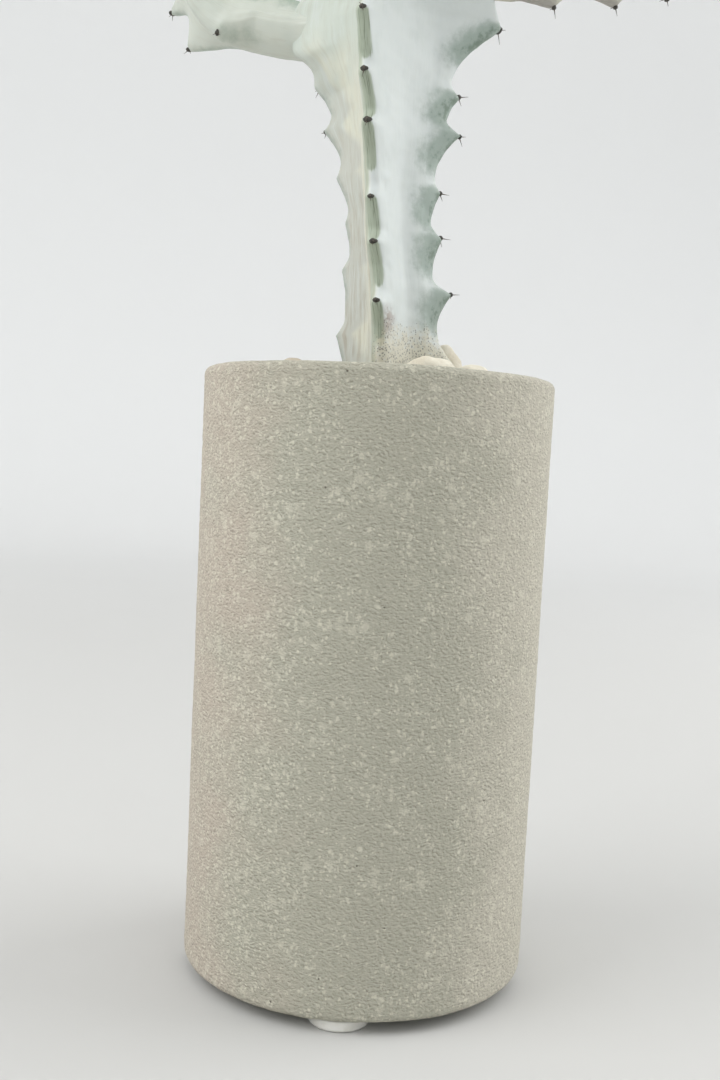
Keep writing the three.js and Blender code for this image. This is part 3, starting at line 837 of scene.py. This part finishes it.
@dataclass
class Stem:
    """A ribbed stem swept along a path, with its areoles and spines. Sizes are in mm.

    Attributes:
        node: the CAD node that it finishes.
        path: its centre line, above the pot's underside.
        rib_direction: where a rib of bearing 0 points at the foot.
        ribs: its ribs, in the order of their bearings.
        skin: its finish.
        slot: the record's material slot.
        start: the distance at which the path begins.
        step: the distance from section to section.
        fineness: points on four spans of a section; a rib's eight take them backwards, then forwards.
        crest_half: half the width of a rib near its edge.
        crest_round: how far in from the edge that width is reached.
        shoulder_half: half the width of a rib at its shoulder.
        shoulder_at: the shoulder's share of the margin's radius.
        valleys: the share of the margin's radius in the valleys, as (distance, share).
        tip_length: the length of the rounded tip.
        young_length: the length of the young, blushing end.
        reach: how far a tooth reaches below and above its tip.
        creaminess: how cream the skin is where no rib says so.
        level: whether every section lies flat.
        wander: how uneven the surface is.
        seed: the seed of its spines.
    """

    node: str
    path: Sequence[Point]
    rib_direction: Point
    ribs: Sequence[Rib]
    skin: Skin
    slot: str = "branch_skin"
    start: float = 0.0
    step: float = 0.8
    fineness: Sequence[int] = (3, 3, 4, 5)
    crest_half: float = 1.45
    crest_round: float = 0.8
    shoulder_half: float = 3.1
    shoulder_at: float = 0.64
    valleys: Pairs = ((0.0, 0.44),)
    tip_length: float = 8.0
    young_length: float = 16.0
    reach: tuple[float, float] = (8.5, 3.8)
    creaminess: float = 0.45
    level: bool = False
    wander: float = 0.12
    seed: int = 1

    def build(self) -> None:
        """Models the stem, paints its attributes, and sets its areoles and spines."""
        self._trace()
        piece = self._sweep()
        Bench.dress(piece, self.skin.material(), self.slot, self.node)
        self._arm()

    # -- path

    def _trace(self) -> None:
        """Walks the path in even steps and carries a frame along it."""
        knots = [Vector(p) for p in self.path]
        knots = [knots[0] * 2 - knots[1], *knots, knots[-1] * 2 - knots[-2]]
        dense = []
        for a, b, c, d in zip(knots, knots[1:], knots[2:], knots[3:]):
            dense.extend(self._span(a, b, c, d, t) for t in np.linspace(0, 1, 60, endpoint=False))
        dense.append(knots[-2])
        line = np.array(dense)
        run = np.concatenate([[0], np.cumsum(np.linalg.norm(np.diff(line, axis=0), axis=1))])
        self.length = float(run[-1])
        self.rows = round(self.length / self.step) + 1
        self.distance = np.linspace(0, self.length, self.rows)
        self.centre = np.stack([np.interp(self.distance, run, line[:, k]) for k in range(3)], axis=1)
        tangent = np.gradient(self.centre, axis=0)
        self.tangent = tangent / np.linalg.norm(tangent, axis=1)[:, None]
        if self.level:
            self.tangent[:] = (0.0, 0.0, 1.0)
        across = np.array(self.rib_direction, float)
        self.across = np.empty_like(self.tangent)
        for k, t in enumerate(self.tangent):
            across = across - t * across.dot(t)
            across /= np.linalg.norm(across)
            self.across[k] = across
        self.side = np.cross(self.tangent, self.across)

    @staticmethod
    def _span(a: Vector, b: Vector, c: Vector, d: Vector, t: float) -> Vector:
        """A point of a centripetal spline between b and c.

        Args:
            a: the knot before b.
            b: the knot that it leaves.
            c: the knot that it reaches.
            d: the knot after c.
            t: the share of the way from b to c.

        Returns:
            The point.
        """
        gaps = [max(math.sqrt((q - p).length), 1e-4) for p, q in ((a, b), (b, c), (c, d))]
        leave = ((b - a) / gaps[0] - (c - a) / (gaps[0] + gaps[1]) + (c - b) / gaps[1]) * gaps[1]
        arrive = ((c - b) / gaps[1] - (d - b) / (gaps[1] + gaps[2]) + (d - c) / gaps[2]) * gaps[1]
        fall, rise = (1 - t) ** 2, t * t
        return b * (1 + 2 * t) * fall + leave * t * fall + c * rise * (3 - 2 * t) + arrive * rise * (t - 1)

    # -- section

    def _tooth(self, rib: Rib, distance: np.ndarray) -> np.ndarray:
        """How far a rib's teeth stand out at distances along the stem, in mm."""
        height = np.zeros_like(distance)
        for at, length, *reach in rib.teeth:
            below, above = reach or self.reach
            away = distance - (at - self.start)
            share = 1 - np.where(away < 0, -away / below, away / above)
            height = np.maximum(height, length * np.clip(share, 0, 1) ** 1.7)
        return height

    def _below(self, rib: Rib, distance: np.ndarray) -> np.ndarray:
        """How much a place lies under an areole: 1 just below it, fading down the rib and just above."""
        (far, near), (over, under) = rib.fades
        window = np.zeros_like(distance)
        for at, *_ in rib.teeth:
            down = (at - self.start) - distance
            window = np.maximum(window, ramp(down, far, near) * ramp(down, over, under))
        return window

    def _controls(self) -> tuple[np.ndarray, dict[str, np.ndarray]]:
        """Control points of every section, and the numbers painted on them.

        Returns:
            Points of shape (rows, controls, 2) in the section's plane, and attributes of
            shape (rows, controls).
        """
        s = self.distance
        scale = np.sqrt(1 - 0.94 * ramp(s, self.length - self.tip_length, self.length) ** 2)
        margins = [read(rib.margin, s, self.start) for rib in self.ribs]
        rings, marks = [], {name: [] for name in ("green", "tongue", "cream", "strip", "flank", "u", "v")}
        for k, rib in enumerate(self.ribs):
            ahead = (k + 1) % len(self.ribs)
            gap = (self.ribs[ahead].bearing - rib.bearing) % 360
            margin, knuckle = margins[k], read(rib.knuckle, s, self.start)
            crest, window = margin + self._tooth(rib, s), self._below(rib, s)
            half, wide = self.crest_half + knuckle, self.shoulder_half + knuckle
            base, brow = margin * self.shoulder_at, crest - self.crest_round
            mid_out, mid_half = (brow + base) / 2, half * 0.45 + wide * 0.55
            outs = [base, mid_out, brow, crest, brow, mid_out, base]
            halves = [-wide, -mid_half, -half, half * 0, half, mid_half, wide]
            for out, side, plain in zip(outs, halves, PLAIN_RIB):
                rings.append(self._polar(rib.bearing, out * scale, side * scale))
                self._steady(marks, rib.bearing, *plain)
                self._paint(marks, rib, crest - out + np.abs(side) * 0.9, window, side)
            valley = (margin + margins[ahead]) / 2 * read(self.valleys, s, self.start)
            rings.append(self._polar(rib.bearing + gap / 2, valley * scale, valley * 0))
            self._steady(marks, rib.bearing + gap / 2, PLAIN_VALLEY, 0.0)
            self._paint(marks, rib, crest - valley + 2.5, window * 0, valley * 0 + 5)
        return np.stack(rings, axis=1), {key: np.stack(value, axis=1) for key, value in marks.items()}

    def _steady(self, marks: dict[str, list], bearing: float, out: float, side: float) -> None:
        """Adds section coordinates in mm that stay the same all along the stem."""
        u, v = self._polar(bearing, np.full(self.rows, out), np.full(self.rows, side)).T
        marks["u"].append(u)
        marks["v"].append(v)

    def _paint(
        self, marks: dict[str, list], rib: Rib, inward: np.ndarray, window: np.ndarray, side: np.ndarray,
    ) -> None:
        """Adds the painted numbers of one control point of each section.

        Args:
            marks: the lists to add to.
            rib: the rib that the point belongs to.
            inward: distance from the rib's crest, in mm.
            window: how much the row lies under an areole.
            side: distance to the left of the crest, in mm.
        """
        patch = window * ramp(inward, 1.15 * rib.spread, 0.15 * rib.spread)
        creamy = rib.cream_side * float(np.mean(side)) > 0
        marks["green"].append(patch * (0.0 if rib.tongue else rib.strength))
        marks["tongue"].append(patch * rib.tongue)
        marks["cream"].append(np.full(self.rows, float(creamy) if rib.cream_side else self.creaminess))
        marks["strip"].append(ramp(inward, 1.2, 2.2) * ramp(inward, 5.5, 3.5) * (creamy and rib.tongue))
        marks["flank"].append(ramp(inward, 12.0, 7.0) * (creamy and not rib.tongue))

    @staticmethod
    def _polar(bearing: float, out: np.ndarray, side: np.ndarray) -> np.ndarray:
        """Section coordinates of a point out along a bearing and then to its left."""
        east, north = math.cos(math.radians(bearing)), math.sin(math.radians(bearing))
        return np.stack([out * east - side * north, out * north + side * east], axis=1)

    def _weights(self, count: int) -> np.ndarray:
        """Spline weights that turn a closed ring of controls into a fine ring of points."""
        half = list(self.fineness)
        spans = (half[::-1] + half) * (count // len(self.fineness) // 2)
        rows = []
        for k in range(count):
            for t in np.linspace(0, 1, spans[k], endpoint=False):
                row = np.zeros(count)
                basis = (
                    (-t + 2 * t * t - t ** 3) / 2, (2 - 5 * t * t + 3 * t ** 3) / 2,
                    (t + 4 * t * t - 3 * t ** 3) / 2, (-t * t + t ** 3) / 2,
                )
                for step, weight in zip((-1, 0, 1, 2), basis):
                    row[(k + step) % count] += weight
                rows.append(row)
        return np.array(rows)

    def _sweep(self) -> bpy.types.Object:
        """Wraps a grid round the sections and closes its ends."""
        controls, marks = self._controls()
        weights = self._weights(controls.shape[1])
        ring = np.einsum("pc,rcd->rpd", weights, controls)
        around = ring.shape[1]
        seam = np.arange(around + 1) % around
        ring = ring[:, seam]
        skin = (
            self.centre[:, None] + ring[..., :1] * self.across[:, None] + ring[..., 1:] * self.side[:, None]
        ) + np.array([0.0, 0.0, FOOT_HEIGHT])
        Bench.clear()
        bpy.ops.mesh.primitive_grid_add(x_subdivisions=around, y_subdivisions=self.rows - 1, size=0.1)
        piece = bpy.context.object
        piece.name = f"{self.node}_stem"
        Bench.set_points(piece, skin.reshape(-1, 3))
        for name, values in marks.items():
            Bench.mark(piece, name, (values @ weights.T)[:, seam])
        Bench.mark(piece, "along", np.repeat(self.distance + self.start, around + 1))
        young = ramp(self.distance, self.length - self.young_length, self.length) ** 2
        Bench.mark(piece, "young", np.repeat(young, around + 1))
        with Bench.editing():
            bpy.ops.mesh.remove_doubles(threshold=0.001 * MM)
            bpy.ops.mesh.select_all(action="DESELECT")
            bpy.ops.mesh.select_non_manifold()
            bpy.ops.mesh.fill_holes(sides=0)
            bpy.ops.mesh.select_all(action="SELECT")
            bpy.ops.mesh.normals_make_consistent(inside=False)
        bpy.ops.object.shade_smooth()
        Bench.roughen(piece, lambda p: (noise.noise(p * 0.16) * 2 + noise.noise(p * 0.5)) * self.wander)
        return piece

    # -- areoles and spines

    def _arm(self) -> None:
        """Sets a dark areole cap and a pair of spines on every tooth."""
        chance = random.Random(self.seed)
        caps, thorns = [], []
        for rib in self.ribs:
            for tooth in rib.teeth:
                row = round((tooth[0] - self.start) / self.step)
                if row < self.rows - 4 and tooth[0] >= rib.bare_below:
                    cap, *pair = self._armour(rib, tooth, row, chance)
                    caps.append(cap)
                    thorns.extend(pair)
        if not caps:
            return
        cap = Bench.copies(f"{self.node}_areoles", self._cap(), caps)
        thorn = Bench.copies(f"{self.node}_spines", self._thorn(), thorns)
        Bench.dress(cap, Horn("areole", paint(58, 58, 54), paint(88, 84, 76)).material(), self.slot)
        Bench.dress(thorn, Horn("spine", paint(74, 68, 64), paint(116, 100, 88)).material(), self.slot)

    def _armour(self, rib: Rib, tooth: tuple[float, ...], row: int, chance: random.Random) -> list[Matrix]:
        """Places the areole cap and the two spines of one tooth.

        Args:
            rib: the tooth's rib.
            tooth: the tooth.
            row: the section that it lies on.
            chance: the stem's random numbers.

        Returns:
            A matrix for the cap, for the spine that stands out and for the one that hangs.
        """
        at = tooth[0] - self.start
        crest = float(read(rib.margin, at, self.start) + self._tooth(rib, np.array([at]))[0])
        a = math.radians(rib.bearing)
        out = Vector(self.across[row]) * math.cos(a) + Vector(self.side[row]) * math.sin(a)
        up = Vector(self.tangent[row])
        tip = (Vector(self.centre[row]) + out * (crest - 0.25) + Vector((0, 0, FOOT_HEIGHT))) * MM
        grow = 1 + 0.06 * tooth[1]
        size = chance.uniform(0.78, 1.05) * grow
        places = [self._set(tip, out, up, Vector((0.62, 0.85, 0.55)) * size * MM)]
        leans = chance.uniform(-6, 14), chance.uniform(-78, -58)
        for lean, (shortest, longest) in zip(leans, ((1.2, 2.4), (0.7, 2.0))):
            length, tilt = chance.uniform(shortest, longest) * grow, math.radians(lean)
            sway = out.cross(up) * chance.uniform(-0.22, 0.22)
            aim = (out * math.cos(tilt) + up * math.sin(tilt) + sway).normalized()
            places.append(self._set(tip, aim, out.cross(up), Vector((length, 0.9, 0.9)) * MM))
        return places

    @staticmethod
    def _set(at: Vector, forward: Vector, up: Vector, size: Vector) -> Matrix:
        """A matrix that takes X to forward, with Z towards up, at a place and of a size."""
        x = forward.normalized()
        y = up.cross(x).normalized()
        z = x.cross(y)
        turn = Matrix((x, y, z)).transposed().to_4x4()
        return Matrix.Translation(at) @ turn @ Matrix.Diagonal((*size, 1.0))

    @staticmethod
    def _cap() -> bpy.types.Object:
        """A knobbly unit cap."""
        Bench.clear()
        bpy.ops.mesh.primitive_ico_sphere_add(subdivisions=2, radius=1.0)
        Bench.lump(0.22, 1.7)
        return bpy.context.object

    @staticmethod
    def _thorn() -> bpy.types.Object:
        """A slender unit thorn along X, thick at the foot and slightly hooked."""
        Bench.clear()
        bpy.ops.mesh.primitive_cone_add(
            vertices=7, radius1=0.26, radius2=0.035, depth=1.0, location=(0.5, 0, 0),
            rotation=(0, math.pi / 2, 0),
        )
        thorn = bpy.context.object
        bpy.ops.object.transform_apply(location=True, rotation=True, scale=True)
        with Bench.editing():
            bpy.ops.mesh.subdivide(number_cuts=2)
        places = Bench.points(thorn) * MM
        slim = 1 - 0.35 * np.sin(np.clip(places[:, 0], 0, 1) * math.pi)
        places[:, 1:] *= slim[:, None]
        places[:, 2] -= 0.10 * places[:, 0] ** 2
        Bench.set_points(thorn, places / MM)
        return thorn


def even_teeth(first: float, pitch: float, length: float, end: float) -> list[tuple[float, float]]:
    """Teeth at an even pitch, each (distance, length)."""
    return [(first + k * pitch, length) for k in range(int((end - first) / pitch) + 1)]


ROOT_END = 92.0
UPPER_MARGIN = [(218, 17.5), (230, 16.5), (245, 14.5), (262, 13.5), (300, 12.5), (318, 11)]
FRONT_MARGIN = [
    (92, 4), (105, 7), (118, 9.5), (132, 12), (142, 12), (160, 11), (174, 11.5), (186, 13), (199, 15.1),
    (207, 17.3), *UPPER_MARGIN,
]
LEFT_MARGIN = [
    (92, 4), (105, 7), (118, 10), (132, 14.2), (142, 14.6), (154, 13.4), (167, 10.6), (175, 10.4),
    (187, 12.8), (199, 15.5), (206, 17.5), (210, 20), (213.5, 24), (218, 25.4), (223, 24), (229, 19.5),
    (236, 16.5), *UPPER_MARGIN[2:],
]


def trunk() -> Stem:
    """The trunk, described by height above the pot's underside."""
    right = Rib(
        18, FRONT_MARGIN,
        [
            (138, 6.6, 10, 9), (156.9, 4.5), (169.7, 2.6), (180.4, 2), (194.2, 4.6), (202.9, 3),
            (219.9, 11.3, 14, 40), (243, 3), (256, 3.4), (269, 3.2), (282, 3), (295, 2.8), (307, 2.4),
        ],
        spread=12.0, strength=1.0, knuckle=[(214, 0), (220, 0.5), (228, 4), (240, 4), (250, 0)],
        bare_below=140.0,
    )
    left = Rib(
        138, LEFT_MARGIN,
        [
            (146.8, 2.8), (162, 2.1), (173, 1.4), (183.8, 1.9), (195.3, 3.9), (205.5, 2.8),
            (239, 3), (252, 3), (275, 3.2), (288, 3), (301, 2.6),
        ],
        spread=6.0, strength=0.55,
        knuckle=[(203, 0), (212, 4.5), (224, 4.5), (236, 0), (250, 0), (261, 3), (271, 0)],
        cream_side=1, bare_below=190.0,
    )
    front = Rib(
        257, FRONT_MARGIN,
        [
            (152.2, 3), (165.5, 2.5), (175.3, 2.2), (190.6, 3.5), (200.9, 3), (213.5, 3), (227, 3),
            (239, 3.2), (266, 3.2), (279, 3), (292, 2.8), (304, 2.4),
        ],
        spread=2.3, knuckle=[(242, 0), (252, 3), (262, 0)], cream_side=-1, tongue=True,
    )
    return Stem(
        "trunk",
        [
            (3.4, 0, ROOT_END), (2.8, 0, 118), (2.2, 0, 140), (1.2, 0, 155), (-0.3, 0, 168), (-1.5, 0, 181),
            (-1.9, 0, 194), (-2.9, 0, 204), (-3.2, 0, 222), (-2.2, -0.5, 250), (0, 0, 284), (1.5, 0.5, 318),
        ],
        (1, 0, 0), [right, left, front], Skin("trunk_skin", Tint.TRUNK), slot="trunk_skin", start=ROOT_END,
        step=0.65, fineness=(3, 4, 5, 6), creaminess=0.0, level=True, seed=3,
    )


def branch_left() -> Stem:
    """The branch that runs left, bends at an elbow and turns up."""
    path = [
        (-6, 5, 218), (-14, 10, 218.5), (-22, 14, 219), (-30, 16.5, 220.6), (-38, 18.5, 222.6),
        (-42, 19.3, 225), (-45, 20.2, 229.5), (-46.8, 21, 237), (-48, 21.5, 246), (-52, 23, 264),
        (-57, 24, 284), (-60, 24.5, 299),
    ]
    front = Rib(
        0, [(0, 4), (12, 6.4), (20, 5.8), (30, 5.6), (37, 7.6), (46, 8.8), (60, 9.5), (112, 8.5)],
        [(36.5, 1.4), *even_teeth(54, 12, 3, 116)], spread=5.0, strength=0.35,
        knuckle=[(0, 2.4), (30, 2.2), (42, 0)], bare_below=20.0,
    )
    top = Rib(
        127, [(0, 5), (12, 7), (20, 6.6), (30, 7.4), (40, 7.6), (50, 7.8), (62, 9.2), (112, 8.5)],
        [(26, 1.2), (38, 1.6), *even_teeth(60, 12, 3, 116)], spread=8.0, strength=0.75,
        knuckle=[(0, 1), (42, 0)], bare_below=30.0,
    )
    under = Rib(
        277, [(0, 5), (12, 7), (20, 6.2), (30, 6), (35, 6.8), (40, 9.4), (45, 11.6), (62, 9.6), (112, 8.5)],
        [(43, 6.2, 6, 2.6), (49.2, 7.6, 3, 4.6), *even_teeth(60, 12, 3, 116)], spread=5.0, strength=0.5,
        knuckle=[(0, 1), (42, 0)], bare_below=20.0,
    )
    return Stem(
        "branch_left", path, (0, -0.79, -0.61), [front, top, under], SKINS[Tint.CREAM],
        valleys=[(0, 0.95), (30, 0.9), (40, 0.62), (52, 0.44)], seed=11,
    )


def branch_right() -> Stem:
    """The long branch that runs right from the trunk's shoulder and turns up at its end."""
    path = [
        (6, 2, 230), (16, 4, 233.5), (25, 5.5, 235), (34, 7, 235.8), (44, 8, 237), (56, 9, 238.8),
        (67, 10, 241.5), (75, 11, 248), (80, 11, 259), (82, 11, 275), (83, 11, 293),
    ]
    margin = [(0, 5), (12, 9), (20, 10), (26, 9.6), (34, 9), (60, 9.3), (120, 9)]
    under = [(30, 2.2), (44.6, 2.9), (56.6, 2), (66, 2.6, 5, 3), *even_teeth(78, 12, 2.6, 116)]
    ribs = [
        Rib(120.0 * k, margin, teeth, spread=5.0, strength=0.75, bare_below=20.0)
        for k, teeth in enumerate((under, even_teeth(35, 13, 2.6, 116), even_teeth(40, 13, 2.6, 116)))
    ]
    return Stem("branch_right", path, (0, -0.1, -1), ribs, SKINS[Tint.OLIVE], seed=13)


def branch(
    node: str, path: Sequence[Point], rib_direction: Point, margin: Pairs, first_teeth: Sequence[float],
    end: float, pitch: float = 12.0, length: float = 3.0, tint: Tint = Tint.CREAM, seed: int = 5,
) -> Stem:
    """A branch with three even ribs, each with its own first tooth.

    Args:
        node: the CAD node that it finishes.
        path: its centre line in mm, above the pot's underside.
        rib_direction: where its first rib points.
        margin: its radius along the path.
        first_teeth: the distance of each rib's first tooth.
        end: the last distance that has a tooth.
        pitch: the distance from tooth to tooth.
        length: how far a tooth stands out.
        tint: the tint of its skin.
        seed: the seed of its spines.

    Returns:
        The stem.
    """
    ribs = [
        Rib(120.0 * k, margin, even_teeth(first, pitch, length, end), spread=5.0, strength=0.75)
        for k, first in enumerate(first_teeth)
    ]
    return Stem(node, path, rib_direction, ribs, SKINS[tint], seed=seed)


SKINS = {
    Tint.CREAM: Skin(
        "branch_skin_cream", Tint.CREAM, bone=paint(208, 214, 207), cream=paint(209, 212, 198),
        patch=paint(164, 178, 165), deep=paint(124, 142, 122),
    ),
    Tint.OLIVE: Skin(
        "branch_skin_olive", Tint.OLIVE, bone=paint(212, 211, 196), cream=paint(201, 197, 178),
        patch=paint(168, 164, 158), deep=paint(134, 124, 130), blush=paint(206, 178, 172),
    ),
}


def branches() -> list[Stem]:
    """All branches, in the order in which they leave the trunk."""
    return [
        branch_left(),
        branch(
            "branch_left_fork",
            [(-48, 21.5, 246), (-60, 22.5, 251), (-72, 23, 258.5), (-81, 23, 270.5), (-84, 23, 290)],
            (0, -0.2, -1), [(0, 4), (12, 6.5), (26, 7.5), (45, 8), (60, 7.5)], (22, 27, 32), 56,
            pitch=11, length=2.6, seed=12,
        ),
        branch_right(),
        branch(
            "branch_front",
            [
                (-3, -2, 246), (-6, -14, 251), (-7, -24, 256), (-8, -32.5, 265), (-8, -36.5, 279),
                (-8, -37.5, 301),
            ],
            (0.1, 0, -1), [(0, 4), (12, 7), (24, 7.5), (40, 8.8), (60, 9), (80, 8.5)], (26, 31, 36), 76,
            seed=14,
        ),
        branch(
            "branch_back",
            [(-4, 2, 255), (-14, 12, 260), (-20, 22, 266), (-23, 31, 277), (-24, 36, 292), (-24, 38, 308)],
            (0, 0, -1), [(0, 4), (14, 7), (28, 7.5), (42, 8.5), (60, 8.8), (80, 8.2)], (25, 31, 36), 74,
            seed=15,
        ),
        branch(
            "branch_upper_right",
            [(4, 1, 262), (16, 5, 269), (25, 8, 279), (28, 9, 294), (29, 9.5, 306)],
            (0.3, 0, -1), [(0, 4), (14, 6.2), (30, 7.2), (50, 7)], (24, 28, 32), 50,
            pitch=11, length=2.6, seed=16,
        ),
    ]


# ---------------------------------------------------------------- filling and top dressing


STONE_COLOURS = {        # body, stain and vein
    "cream_stone": (paint(234, 229, 213), paint(220, 212, 193), paint(244, 240, 229)),
    "pebble_warm": (paint(196, 186, 168), paint(172, 158, 138), paint(214, 208, 196)),
    "pebble_grey": (paint(168, 166, 160), paint(142, 139, 133), paint(196, 194, 188)),
    "pebble_pale": (paint(214, 210, 200), paint(190, 184, 172), paint(232, 230, 224)),
}


@dataclass
class TopDressing:
    """The pebbles and larger stones, and the fine grit between them."""

    grain_count: int = 1500
    bare_middle: float = 7.0

    def build(self) -> None:
        """Finishes each stone and scatters the grit."""
        painted = {name: Mineral(name, *colours).material() for name, colours in STONE_COLOURS.items()}
        shades = [painted["pebble_warm"], painted["pebble_grey"], painted["pebble_pale"]]
        chance = random.Random(21)
        for node in sorted(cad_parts):
            if node.startswith("stone_cream"):
                self._stone(node, painted["cream_stone"], "cream_stone", 3, chance)
            elif node.startswith(("pebble_", "stone_grey")):
                self._stone(node, chance.choice(shades), "grey_pebble", 2, chance)
        self._grit()

    def _stone(
        self, node: str, material: bpy.types.Material, slot: str, levels: int, chance: random.Random,
    ) -> None:
        """Rounds a copy of a CAD stone and weathers it.

        Args:
            node: the CAD node.
            material: its finish.
            slot: the record's material slot.
            levels: how often the surface is subdivided.
            chance: the random numbers of all stones.
        """
        stone = Bench.twin(f"{node}_finished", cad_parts[node])
        with Bench.editing():
            bpy.ops.mesh.remove_doubles(threshold=0.01 * MM)
        smooth = stone.modifiers.new("rounding", "SUBSURF")
        smooth.levels = smooth.render_levels = levels
        bpy.ops.object.modifier_apply(modifier=smooth.name)
        bpy.ops.object.shade_smooth()
        offset = Vector((chance.uniform(-50, 50), chance.uniform(-50, 50), chance.uniform(-50, 50)))
        Bench.roughen(
            stone,
            lambda p: 0.15 + noise.noise(p * 0.28 + offset) * 0.8 + noise.noise(p * 0.9 + offset) * 0.16,
        )
        Bench.dress(stone, material, slot, node)

    def _grit(self) -> None:
        """Scatters small grains over the gravel bed, clear of the trunk and the wall."""
        chance = random.Random(8)
        _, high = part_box("gravel_bed")
        top, wall = high.z, high.x - 0.9 * MM
        places, shades = [], []
        while len(places) < self.grain_count:
            r, a = wall * math.sqrt(chance.random()), chance.uniform(0, 2 * math.pi)
            if r < self.bare_middle * MM:
                continue
            size = chance.uniform(0.55, 1.25) * MM
            shape = Vector((size * chance.uniform(0.8, 1.3), size, size * chance.uniform(0.6, 0.9)))
            spun = Matrix.Rotation(chance.uniform(0, 6.28), 4, "Z")
            turn = spun @ Matrix.Rotation(chance.uniform(-0.6, 0.6), 4, "X")
            lift = chance.uniform(-0.1, 1.1) * MM
            at = Vector((r * math.cos(a), r * math.sin(a), top + lift))
            places.append(Matrix.Translation(at) @ turn @ Matrix.Diagonal((*shape, 1.0)))
            shades.append(chance.random() ** 1.4)
        Bench.clear()
        bpy.ops.mesh.primitive_uv_sphere_add(segments=6, ring_count=4, radius=1.0)
        Bench.lump(0.35, 1.3, (3, 1, 2))
        grit = Bench.copies("fine_grit", bpy.context.object, places, shades)
        finish = Grains("fine_grit", paint(206, 198, 180), paint(112, 104, 92))
        Bench.dress(grit, finish.material(), "fine_gravel")


@dataclass
class Filling:
    """What lies unseen in the pot keeps its CAD shape and gets its own finish."""

    finishes: dict[str, Grains] = field(default_factory=lambda: {
        "gravel_bed": Grains("gravel_bed", paint(176, 168, 150), paint(120, 112, 98)),
        "potting_soil": Grains("potting_soil", paint(84, 66, 50), paint(46, 36, 28)),
        "drainage_layer": Grains("drainage_layer", paint(124, 108, 100), paint(84, 70, 64)),
        "drain_mesh": Grains("drain_mesh", paint(52, 52, 52), paint(34, 34, 34)),
    })

    def build(self) -> None:
        """Paints the hidden CAD nodes."""
        for node, finish in self.finishes.items():
            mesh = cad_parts[node].data
            mesh.materials.clear()
            mesh.materials.append(finish.material())
            log.info("%s: painted", node)


# ---------------------------------------------------------------- floor, light and camera


@dataclass
class Studio:
    """A pale seamless bowl, soft light and the camera."""

    flat: float = 1150.0
    bend: float = 700.0
    top: float = 2200.0
    lens: float = 40.0
    eye: Point = (-2.25, -281.8, 115.9)
    pitch: float = 3.57
    roll: float = 2.82
    yaw: float = -0.10
    daylight: Colour = (1.0, 0.998, 0.994, 1.0)
    daylight_strength: float = 0.94
    panels: dict[str, Point] = field(default_factory=lambda: {
        "panel_left": (-0.75, -0.35, 0.75),
        "panel_right": (0.85, 0.15, 0.65),
    })
    panel_size: float = 0.8
    panel_power: float = 5.0
    aim_height: float = 0.15

    def build(self) -> None:
        """Sets the floor, the lights and the camera."""
        self._bowl()
        self._light()
        self._camera()

    def _bowl(self) -> None:
        """Turns the floor and the wall in one sweep."""
        profile = [
            (0, 0), *[(r, 0) for r in np.linspace(60, self.flat - 50, 12)],
            *arc(self.flat, self.bend, self.bend, -90, 0, 16), (self.flat + self.bend, self.top),
        ]
        bowl = Bench.turned("backdrop", profile, 96, closed=False)
        bowl.data.flip_normals()
        bowl.data.materials.append(Backdrop().material())

    def _light(self) -> None:
        """White surroundings and two broad panels."""
        world = bpy.data.worlds.new("daylight")
        world.use_nodes = True
        sky = world.node_tree.nodes["Background"]
        sky.inputs["Color"].default_value = self.daylight
        sky.inputs["Strength"].default_value = self.daylight_strength
        bpy.context.scene.world = world
        for name, place in self.panels.items():
            Bench.clear()
            bpy.ops.object.light_add(type="AREA", location=place)
            panel = bpy.context.object
            panel.name = name
            panel.data.size = self.panel_size
            panel.data.energy = self.panel_power
            towards = Vector((0, 0, self.aim_height)) - Vector(place)
            panel.rotation_euler = towards.to_track_quat("-Z", "Y").to_euler()

    def _camera(self) -> None:
        """Places the camera just below the rim's height, rolled a little."""
        pitch, roll, yaw = (math.radians(a) for a in (self.pitch, self.roll, self.yaw))
        forward = Vector((math.sin(yaw) * math.cos(pitch), math.cos(yaw) * math.cos(pitch), -math.sin(pitch)))
        level = Vector((math.cos(yaw), -math.sin(yaw), 0))
        rise = level.cross(forward)
        right = level * math.cos(roll) + rise * math.sin(roll)
        up = rise * math.cos(roll) - level * math.sin(roll)
        Bench.clear()
        bpy.ops.object.camera_add(location=(Vector(self.eye) + Vector((0, 0, FOOT_HEIGHT))) * MM)
        camera = bpy.context.object
        camera.data.lens = self.lens
        camera.data.sensor_width = 36.0
        camera.rotation_euler = Matrix((right, up, -forward)).transposed().to_euler()
        bpy.context.scene.camera = camera
        bpy.context.scene.view_settings.view_transform = "Standard"


def main() -> None:
    """Builds the studio and every piece, and notes the sizes."""
    logging.basicConfig(level=logging.INFO, format="%(message)s")
    Studio().build()
    Pot().build()
    FootPads().build()
    trunk().build()
    for stem in branches():
        stem.build()
    TopDressing().build()
    Filling().build()


if __name__ == "__main__":
    main()
